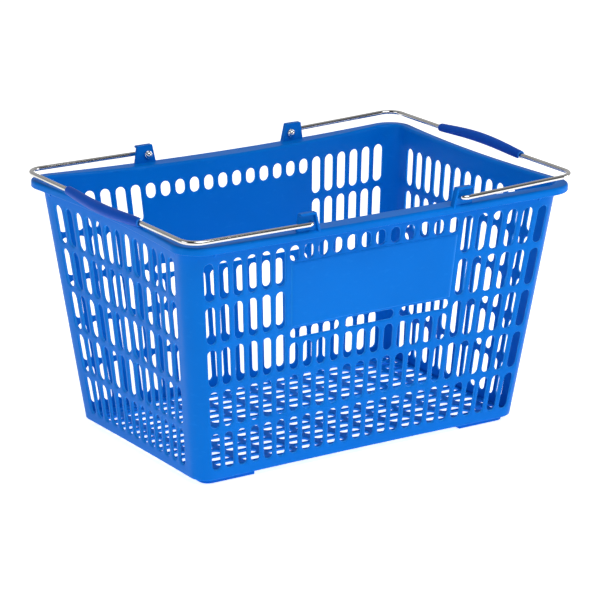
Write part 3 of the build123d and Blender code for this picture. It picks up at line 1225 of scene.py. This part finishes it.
# ---- Bails ----------------------------------------------------------------------------
@dataclass
class Bail:
    """One wire bail with its turning grip and its two end caps."""

    name: str
    end: int
    tilt: float
    lift: float
    pivot_x: float
    pivot_z: float
    wire: float = 2.5
    half_x: float = 234.5
    half_y: float = 167.5
    wire_end: float = 155.0
    corner: float = 18.0
    bend: float = 6.0
    cap_base: float = 157.2
    grip_half: float = 73.5
    grip_rise: float = 3.6
    grip_end_radius: float = 4.7
    grip_growth: float = 1.1
    grip_half_gap: float = 2.9
    grip_tip: float = 1.2
    grip_tip_round: float = 0.35

    def route(self) -> tuple[Array, Array]:
        """The wire's centre line from one lug to the other, seen from above.

        Each bend is an arc that touches its two straights, and the straights are cut
        into even steps. It is drawn for the right side and turned over for the left.

        Returns:
            Points (n, 2) and unit directions (n, 2).
        """
        bend_centre = (self.pivot_x + self.bend, self.bend - self.half_y)
        corner_centre = (self.half_x - self.corner, self.corner - self.half_y)
        bend, bend_way = self.arc(bend_centre, self.bend, math.pi)
        corner, corner_way = self.arc(corner_centre, self.corner, 1.5 * math.pi)
        first = np.array([[self.pivot_x, y] for y in (-self.wire_end, -self.wire_end - 5)])
        first_way = np.tile([0.0, -1.0], (2, 1))
        leg = np.linspace(bend[-1], corner[0], 10)[1:-1]
        leg_way = np.tile([1.0, 0.0], (len(leg), 1))
        bar = np.linspace(corner[-1], (self.half_x, 0.0), 10)[1:]
        bar_way = np.tile([0.0, 1.0], (len(bar), 1))
        points = np.concatenate([first, bend, leg, corner, bar])
        ways = np.concatenate([first_way, bend_way, leg_way, corner_way, bar_way])
        points = np.concatenate([points, points[-2::-1] * (1, -1)])
        ways = np.concatenate([ways, ways[-2::-1] * (-1, 1)])
        return points * (self.end, 1), ways * (self.end, 1)

    def arc(self, centre: Sequence[float], radius: float, start: float) -> tuple[Array, Array]:
        """A quarter circle drawn anticlockwise.

        Args:
            centre: its centre.
            radius: its radius.
            start: its first angle.

        Returns:
            Points and unit directions.
        """
        angle = np.linspace(start, start + math.pi / 2, 13)
        out = np.stack([np.cos(angle), np.sin(angle)], -1)
        way = np.stack([-np.sin(angle), np.cos(angle)], -1)
        return np.array(centre) + radius * out, way

    def lifted(self, points: Array) -> Array:
        """Turns points of the level bail up about its pivots by its lift.

        A point out from the pivot rises by its distance times sin(lift), and its
        distance shrinks by cos(lift).

        Args:
            points: points of the level bail, their X, Y and Z on the last axis.

        Returns:
            The turned points, in an array of the same shape.
        """
        turn = math.radians(self.lift)
        out = self.end * points[..., 0] - self.pivot_x
        up = points[..., 2] - self.pivot_z
        x = self.end * (self.pivot_x + out * math.cos(turn) - up * math.sin(turn))
        z = self.pivot_z + out * math.sin(turn) + up * math.cos(turn)
        return np.stack([x, points[..., 1], z], -1)

    def tube(self) -> Shell:
        """The wire: a circle carried along its route, drawn in at both ends.

        Returns:
            The wire in one shell.
        """
        points, ways = self.route()
        angle = np.linspace(0, 2 * math.pi, 32, endpoint=False)
        side = np.stack([-ways[:, 1], ways[:, 0], np.zeros(len(ways))], -1)[:, None, :]
        up = np.array([0.0, 0.0, 1.0])
        circle = self.wire * (np.cos(angle)[None, :, None] * side + np.sin(angle)[None, :, None] * up)
        centre = np.insert(points, 2, self.pivot_z, axis=1)[:, None, :]
        rings = centre + circle
        out_first = np.insert(ways[0], 2, 0.0) * -0.5
        out_last = np.insert(ways[-1], 2, 0.0) * 0.5
        tip_first = [centre[0] + circle[0] * share + out_first for share in (0.0, 0.8)]
        tip_last = [centre[-1] + circle[-1] * share + out_last for share in (0.8, 0.0)]
        shell = Shell()
        shell.grid(self.lifted(np.concatenate([np.stack(tip_first), rings, np.stack(tip_last)])), wrap=True)
        return shell

    def cap(self, side: int) -> Shell:
        """A domed cap: a profile turned about the wire's end.

        Args:
            side: -1 for the front, 1 for the back.

        Returns:
            The cap's grid.
        """
        turn = np.linspace(0, math.pi / 2, 9)
        radius = np.concatenate([[0.0, 4.1, 4.5, 4.5, 4.2, 3.7], 3.5 * np.cos(turn)])
        reach = np.concatenate([[0.0, 0.0, 0.25, 0.9, 1.15, 1.2], 1.2 + 3.0 * np.sin(turn)])
        angle = np.linspace(0, 2 * math.pi, 32, endpoint=False)
        x = self.end * self.pivot_x + radius[:, None] * np.cos(angle)
        z = self.pivot_z + radius[:, None] * np.sin(angle)
        y = np.broadcast_to(side * (self.cap_base - reach[:, None]), x.shape)
        shell = Shell()
        shell.grid(np.stack([x, y, z], -1), wrap=True)
        return shell

    def grip(self) -> Shell:
        """The turning grip: a C-shaped section carried along the end bar.

        Its outside is a circle that grows and rises towards the middle, by powers of the
        cosine of its share of a quarter turn; its inside is a
        channel with a round end about the wire, open on the side away from the rise.

        Returns:
            The grip's grids.
        """
        tip, middle = np.linspace(0.9, 1, 6), np.linspace(-0.9, 0.9, 49)
        along = np.concatenate([-tip[::-1], middle[1:-1], tip])
        away = np.abs(along) * self.grip_half
        arch = np.cos(np.abs(along) * math.pi / 2).clip(0, 1)
        rise = self.grip_rise * arch**1.2
        tip_start = self.grip_half - self.grip_tip
        rounding = np.interp(away, [tip_start, self.grip_half], [0.0, self.grip_tip_round])
        radius = self.grip_end_radius + self.grip_growth * arch**0.75 - rounding
        half_gap = np.full_like(along, self.grip_half_gap)
        count = 33
        open_angle = np.arcsin(half_gap / radius)
        share = np.linspace(0, 1, count)
        turn = -math.pi / 2 + open_angle[:, None] + (2 * math.pi - 2 * open_angle[:, None]) * share
        out_side = radius[:, None] * np.cos(turn)
        out_rise = rise[:, None] + radius[:, None] * np.sin(turn)
        mouth = rise - radius * np.cos(open_angle)
        leg = np.clip(share * 4, 0, 1)
        back = np.clip(share * 4 - 3, 0, 1)
        round_part = np.clip(share * 2 - 0.5, 0, 1) * math.pi
        in_side = half_gap[:, None] * np.cos(round_part)
        in_rise = np.where(
            share < 0.25,
            mouth[:, None] * (1 - leg),
            np.where(share > 0.75, mouth[:, None] * back, half_gap[:, None] * np.sin(round_part)),
        )
        sections = []
        lean = math.radians(self.tilt - self.lift)
        bulge = np.array([self.end * math.cos(lean), 0.0, math.sin(lean)])
        across = np.array([math.sin(lean), 0.0, -self.end * math.cos(lean)])
        centre = np.stack([np.full_like(along, self.end * self.half_x), along * self.grip_half], -1)
        centre = np.insert(centre, 2, self.pivot_z, axis=1)[:, None, :]
        for side, height in ((out_side, out_rise), (in_side, in_rise)):
            sections.append(self.lifted(centre + side[..., None] * across + height[..., None] * bulge))
        outer, inner = sections
        shell = Shell()
        # The grip's tips and end faces get the plastic's painted highlight.
        tip_highlight = np.where(away > self.grip_half * 0.985, 1.0, 0.0)[None, :, None]
        shell.grid(np.concatenate([outer, inner[:, ::-1]], axis=1), wrap=True, edge=tip_highlight)
        for station in (0, -1):
            shell.grid(np.stack([outer[station], inner[station]]), edge=1.0)
        return shell

    def build(self, chrome: Material, cap_chrome: Material, plastic: Material) -> None:
        """Makes the bail's pieces.

        Args:
            chrome: the wire's finish.
            cap_chrome: the caps' finish.
            plastic: the grip's finish.
        """
        place_piece(self.tube(), f"{self.name}_bail_tube", f"{self.name}_bail_wire", chrome)
        place_piece(self.grip(), f"{self.name}_grip_sleeve", f"{self.name}_grip", plastic)
        for side, word in ((-1, "front"), (1, "back")):
            cap_node = f"{self.name}_{word}_wire_cap"
            place_piece(self.cap(side), f"{self.name}_{word}_dome", cap_node, cap_chrome)


# ---- Studio ---------------------------------------------------------------------------
@dataclass(frozen=True)
class Lamp:
    """A square soft light that faces the basket; metres and watts."""

    name: str
    place: tuple[float, float, float]
    side: float
    power: float
    aim: tuple[float, float, float] = (0.0, 0.0, 0.12)

    def build(self) -> None:
        """Adds the light to the scene."""
        data = bpy.data.lights.new(self.name, "AREA")
        data.size = self.side
        data.energy = self.power
        lamp = bpy.data.objects.new(self.name, data)
        lamp.location = self.place
        way = Vector(self.aim) - Vector(self.place)
        lamp.rotation_euler = way.to_track_quat("-Z", "Y").to_euler()
        bpy.context.scene.collection.objects.link(lamp)


@dataclass
class Studio:
    """Pale floor, soft lights and the camera."""

    azimuth: float = -0.57658
    elevation: float = 0.29842
    roll: float = 0.00434
    distance: float = 3226.6
    focal_share: float = 3019.6 / 600
    target: tuple[float, float, float] = (15.75, 21.84, 126.0)
    sensor: float = 36.0
    floor_glow: float = 0.8
    lamps: tuple[Lamp, ...] = (
        Lamp("overhead", (0.1, -1.3, 2.3), 1.8, 38.0),
        Lamp("left", (-2.5, 0.3, 1.2), 1.4, 12.0),
        Lamp("front right", (1.6, -0.9, 0.35), 0.8, 9.0),
    )
    dark: float = 0.04
    bright: float = 0.5

    def surroundings(self) -> None:
        """Adds the surroundings: white to the camera, dim in front and brighter behind."""
        world = bpy.data.worlds.new("studio")
        bpy.context.scene.world = world
        board = Board(world, "Background")
        ray = Signal(board, board.node("ShaderNodeLightPath", {}, {}).outputs["Is Camera Ray"])
        way = board.node("ShaderNodeTexCoord", {}, {}).outputs["Generated"]
        ahead = (-math.sin(self.azimuth), math.cos(self.azimuth), 0.0)
        turned = board.node("ShaderNodeVectorMath", {"operation": "DOT_PRODUCT"}, {0: way, 1: ahead})
        dim = Signal(board, turned.outputs["Value"]).above(-0.6, 0.9) * (self.bright - self.dark) + self.dark
        board.feed(board.shader, {"Color": (1.0, 1.0, 1.0, 1.0), "Strength": dim + ray * (1.0 - dim)})

    def camera(self) -> None:
        """Adds the camera, which looks at the target from a compass angle and a height."""
        az, el = self.azimuth, self.elevation
        back = Vector((math.sin(az) * math.cos(el), -math.cos(az) * math.cos(el), math.sin(el)))
        right = Vector((math.cos(az), math.sin(az), 0.0))
        up = back.cross(right)
        turned_right = right * math.cos(self.roll) + up * math.sin(self.roll)
        turned_up = up * math.cos(self.roll) - right * math.sin(self.roll)
        data = bpy.data.cameras.new("camera")
        data.sensor_width = self.sensor
        data.lens = self.sensor * self.focal_share
        data.clip_end = 50.0
        camera = bpy.data.objects.new("camera", data)
        bpy.context.scene.collection.objects.link(camera)
        place = (Vector(self.target) + back * self.distance) * MM
        axes = Matrix((turned_right, turned_up, back)).transposed().to_4x4()
        camera.matrix_world = Matrix.Translation(place) @ axes
        bpy.context.scene.camera = camera

    def floor(self, half: float = 30.0) -> None:
        """Adds the pale floor, a flat matt sheet with a faint glow that keeps it pale.

        Args:
            half: half the sheet's width, in metres.
        """
        shell = Shell()
        line = np.linspace(-half, half, 5) / MM
        x, y = np.meshgrid(line, line)
        shell.grid(np.stack([x, y, np.zeros_like(x)], -1))
        board = Board(bpy.data.materials.new("pale floor"))
        tone = board.noise(3.0, 2.0)
        colour = board.mixed(tone, (0.93, 0.93, 0.935), (0.96, 0.96, 0.96))
        finish = {"Base Color": colour, "Roughness": 0.85, "Specular IOR Level": 0.2}
        glow = {"Emission Color": (1.0, 1.0, 1.0, 1.0), "Emission Strength": self.floor_glow}
        board.feed(board.shader, finish | glow)
        floor = bpy.data.objects.new("floor", shell.mesh("floor"))
        floor.data.materials.append(board.owner)
        bpy.context.scene.collection.objects.link(floor)

    def build(self) -> None:
        """Sets the studio up."""
        bpy.context.scene.view_settings.view_transform = "Standard"
        self.surroundings()
        for lamp in self.lamps:
            lamp.build()
        self.floor()
        self.camera()


def main() -> None:
    """Builds the basket and the studio in order."""
    logging.basicConfig(level=logging.INFO, format="%(name)s: %(message)s")
    hinge = next(joint for joint in frame["joints"] if joint["name"] == "right_bail_hinge")
    pivot_x, _, pivot_z = [value / MM for value in hinge["pos_m"]]
    tub_plastic = MouldedPlastic(
        "tub plastic",
        colour=(0.0, 0.165, 0.655),
        deep=(0.0, 0.145, 0.59),
        # The edge colour is the paler blue of the painted highlight on moulded edges, and of the scuffs.
        edge=(0.03, 0.34, 0.92),
        roughness=0.3,
    )
    grip_plastic = MouldedPlastic(
        "grip plastic",
        colour=(0.004, 0.085, 0.5),
        deep=(0.003, 0.06, 0.4),
        # The edge colour is the paler blue of the painted highlight on moulded edges, and of the scuffs.
        edge=(0.03, 0.25, 0.8),
        roughness=0.34,
    )
    wire_chrome = BrightChrome("wire chrome", (0.72, 0.71, 0.69), (0.5, 0.49, 0.48), 0.06)
    cap_chrome = BrightChrome("cap chrome", (0.78, 0.77, 0.75), (0.5, 0.5, 0.5), 0.1)
    Tub().build(tub_plastic.material(), (pivot_x, pivot_z))
    grip_finish, wire_finish = grip_plastic.material(), wire_chrome.material()
    cap_finish = cap_chrome.material()
    for name, end, tilt, lift in (("left", -1, -38.0, 0.0), ("right", 1, 80.0, 2.0)):
        Bail(name, end, tilt, lift, pivot_x, pivot_z).build(wire_finish, cap_finish, grip_finish)
        log.info("%s bail is in place", name)
    Studio().build()


if __name__ == "__main__":
    main()
